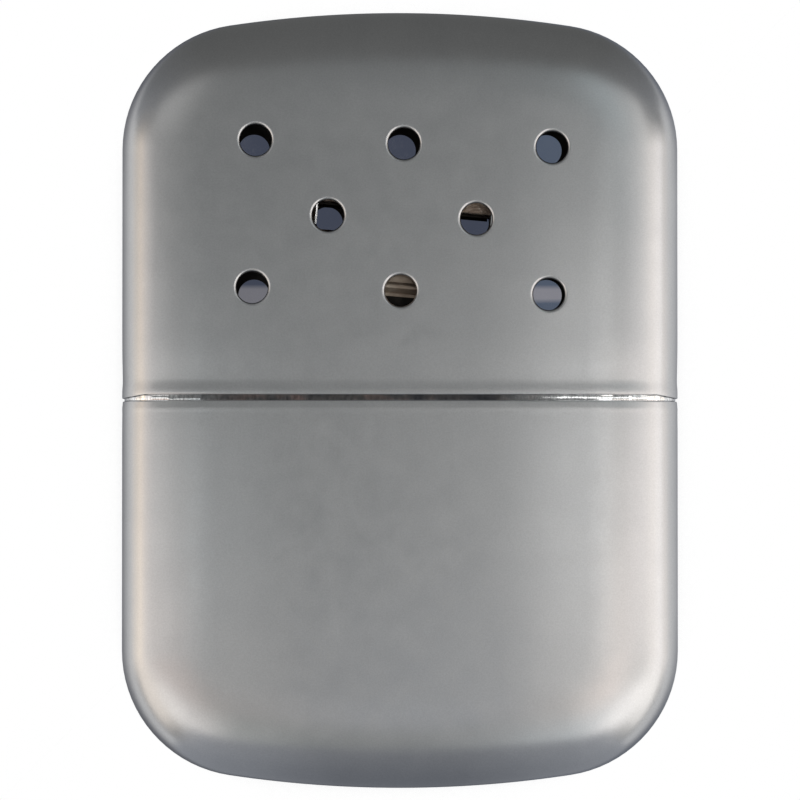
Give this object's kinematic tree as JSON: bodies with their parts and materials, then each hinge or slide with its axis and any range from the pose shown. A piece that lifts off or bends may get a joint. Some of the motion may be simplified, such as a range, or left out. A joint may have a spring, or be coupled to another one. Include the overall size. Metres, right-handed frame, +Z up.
{
  "type": "catalytic hand warmer",
  "caption": "Pocket fuel hand warmer: a vented steel lid pulls off the neck of a fuel tank and bares a plug-on catalytic burner.",
  "frame": {"origin": "centre of the footprint, on the surface that the back face rests on", "axes": "+X across the body, +Y from the tank's end to the lid's end, +Z up out of the vented front face"},
  "size_m": [0.0706, 0.0984, 0.014],
  "materials": {
    "satin_steel": "satin, bead blasted",
    "chrome": "polished",
    "heat_tinted_nickel": "nickel plated, heat tinted",
    "dull_nickel": "dull nickel",
    "catalyst_fibre": "coated glass wool",
    "cotton": "cotton wadding",
    "felt": "felt"
  },
  "bodies": {
    "tank": {"tank_shell": "satin_steel", "neck_collar": "chrome", "filler_mouth": "dull_nickel", "felt_wick": "felt", "cotton_batt": "cotton"},
    "lid": {"lid_shell": "satin_steel"},
    "burner": {"burner_frame": "heat_tinted_nickel", "diffuser_cup": "dull_nickel", "catalyst_mat": "catalyst_fibre", "mat_wire_front": "heat_tinted_nickel", "mat_wire_rear": "heat_tinted_nickel"}
  },
  "joints": [
    {"name": "lid_pull", "type": "slide", "parent": "tank", "child": "lid", "axis": [0, 1, 0], "range_m": [0, 0.045]},
    {"name": "burner_pull", "type": "slide", "parent": "tank", "child": "burner", "axis": [0, 1, 0], "range_m": [0, 0.008]}
  ]
}
